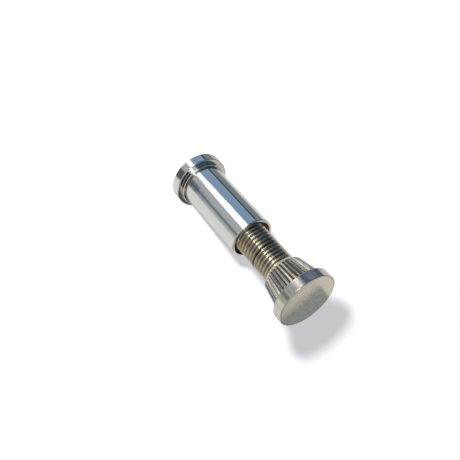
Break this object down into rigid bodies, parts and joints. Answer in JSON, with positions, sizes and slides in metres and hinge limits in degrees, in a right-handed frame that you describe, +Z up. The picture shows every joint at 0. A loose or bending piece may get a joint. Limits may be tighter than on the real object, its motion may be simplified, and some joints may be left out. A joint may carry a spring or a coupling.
{
  "type": "bicycle stem bolt",
  "caption": "Disc-headed clamp bolt with a fluted conical neck and fine thread, screwed into a polished sleeve nut with a stepped collar, disc head and key socket.",
  "frame": {"origin": "centre of the nut head's outer face, which is the lowest face", "axes": "+Z up along the common axis, from the nut's head to the bolt's head; X points to a corner of the key socket"},
  "size_m": [0.0146, 0.0146, 0.0455],
  "materials": {
    "polished_chrome": "mirror polished chrome plate",
    "plated_steel": "plated steel, bright on the rim and flutes, satin on the face, oiled on the thread"
  },
  "bodies": {
    "nut": {"sleeve_nut": "polished_chrome"},
    "bolt": {"clamp_bolt": "plated_steel"}
  },
  "joints": [
    {"name": "thread_travel", "type": "slide", "parent": "nut", "child": "bolt", "axis": [0, 0, 1], "range_m": [-0.0108, 0.0084]}
  ]
}
